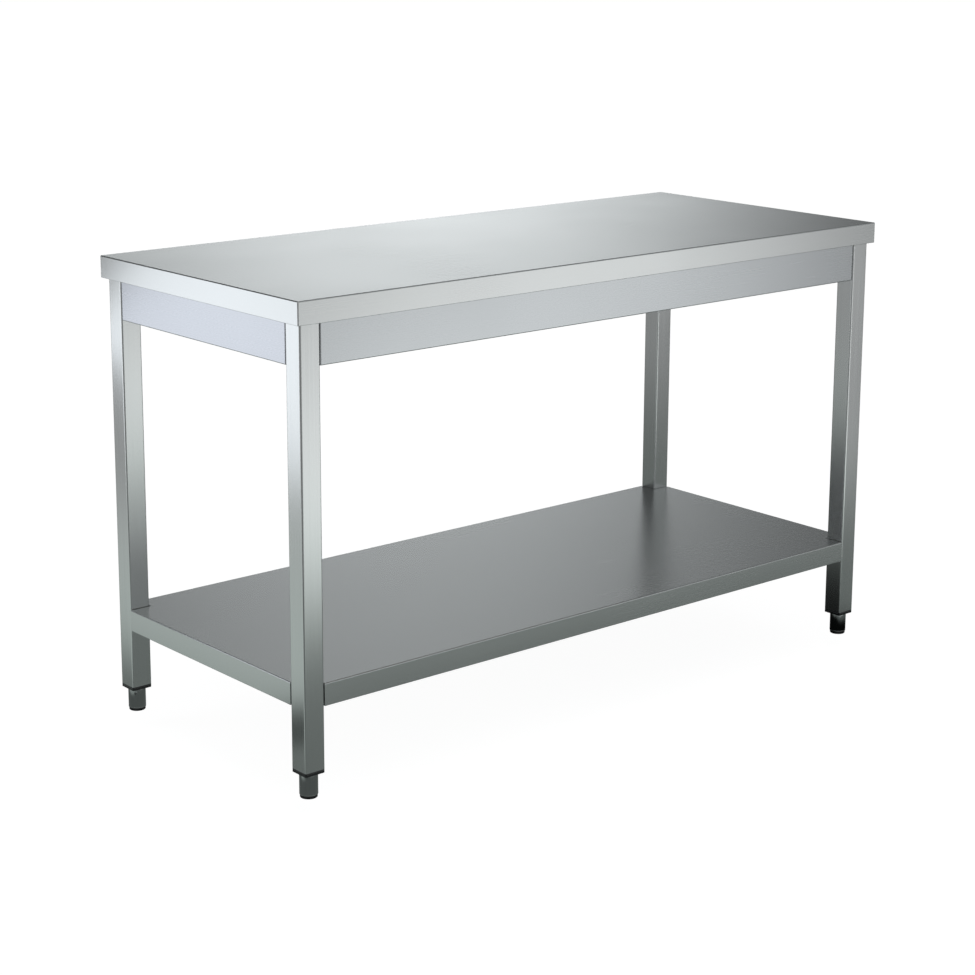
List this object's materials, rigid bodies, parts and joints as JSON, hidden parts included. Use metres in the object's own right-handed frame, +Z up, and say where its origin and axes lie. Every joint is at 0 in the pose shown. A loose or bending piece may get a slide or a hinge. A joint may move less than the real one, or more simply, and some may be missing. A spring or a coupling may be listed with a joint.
{
  "type": "stainless work table",
  "caption": "Stainless work table: folded worktop with aprons on square legs, a notched undershelf, and levelling feet that screw in and out.",
  "frame": {"origin": "on the floor, under the middle of the worktop", "axes": "+X along the table's length, +Y from the front to the back, +Z up"},
  "size_m": [1.4, 0.6, 0.85],
  "materials": {
    "sheet": "brushed along the length of each panel",
    "tube": "brushed along the leg",
    "sleeve": "fine turned, nearly polished",
    "galvanised": "galvanised sheet",
    "fasteners": "plain stainless",
    "board": "raw laminated board",
    "plug": "glossy black",
    "core": "satin black nylon",
    "pad": "matt black"
  },
  "bodies": {
    "table": {"worktop": "sheet", "worktop_board": "board", "worktop_stiffener": "galvanised", "apron_front": "sheet", "apron_back": "sheet", "apron_left": "sheet", "apron_right": "sheet", "undershelf": "sheet", "shelf_stiffener_front": "galvanised", "shelf_stiffener_back": "galvanised", "leg_bolts": "fasteners", "leg_washers": "fasteners", "rivet_nuts": "fasteners", "board_screws": "fasteners", "plug_nuts": "fasteners", "leg_front_left": "tube", "leg_front_right": "tube", "leg_back_left": "tube", "leg_back_right": "tube", "leg_plug_front_left": "plug", "leg_plug_front_right": "plug", "leg_plug_back_left": "plug", "leg_plug_back_right": "plug"},
    "pad_front_left": {"foot_pad_front_left": "pad"},
    "foot_front_left": {"foot_stud_front_left": "fasteners", "foot_core_front_left": "core", "foot_sleeve_front_left": "sleeve"},
    "pad_front_right": {"foot_pad_front_right": "pad"},
    "foot_front_right": {"foot_stud_front_right": "fasteners", "foot_core_front_right": "core", "foot_sleeve_front_right": "sleeve"},
    "pad_back_left": {"foot_pad_back_left": "pad"},
    "foot_back_left": {"foot_stud_back_left": "fasteners", "foot_core_back_left": "core", "foot_sleeve_back_left": "sleeve"},
    "pad_back_right": {"foot_pad_back_right": "pad"},
    "foot_back_right": {"foot_stud_back_right": "fasteners", "foot_core_back_right": "core", "foot_sleeve_back_right": "sleeve"}
  },
  "joints": [
    {"name": "drop_front_left", "type": "slide", "parent": "table", "child": "pad_front_left", "axis": [0, 0, -1], "range_m": [0, 0.03]},
    {"name": "turn_front_left", "type": "hinge", "parent": "pad_front_left", "child": "foot_front_left", "pos_m": [-0.67, -0.27, 0.02], "axis": [0, 0, -1], "range_deg": [0, 7200]},
    {"name": "drop_front_right", "type": "slide", "parent": "table", "child": "pad_front_right", "axis": [0, 0, -1], "range_m": [0, 0.03]},
    {"name": "turn_front_right", "type": "hinge", "parent": "pad_front_right", "child": "foot_front_right", "pos_m": [0.67, -0.27, 0.02], "axis": [0, 0, -1], "range_deg": [0, 7200]},
    {"name": "drop_back_left", "type": "slide", "parent": "table", "child": "pad_back_left", "axis": [0, 0, -1], "range_m": [0, 0.03]},
    {"name": "turn_back_left", "type": "hinge", "parent": "pad_back_left", "child": "foot_back_left", "pos_m": [-0.67, 0.27, 0.02], "axis": [0, 0, -1], "range_deg": [0, 7200]},
    {"name": "drop_back_right", "type": "slide", "parent": "table", "child": "pad_back_right", "axis": [0, 0, -1], "range_m": [0, 0.03]},
    {"name": "turn_back_right", "type": "hinge", "parent": "pad_back_right", "child": "foot_back_right", "pos_m": [0.67, 0.27, 0.02], "axis": [0, 0, -1], "range_deg": [0, 7200]}
  ],
  "couplings": [
    {"joint": "turn_front_left", "follows": "drop_front_left", "rad_per_m": 4188.8},
    {"joint": "turn_front_right", "follows": "drop_front_right", "rad_per_m": 4188.8},
    {"joint": "turn_back_left", "follows": "drop_back_left", "rad_per_m": 4188.8},
    {"joint": "turn_back_right", "follows": "drop_back_right", "rad_per_m": 4188.8}
  ]
}
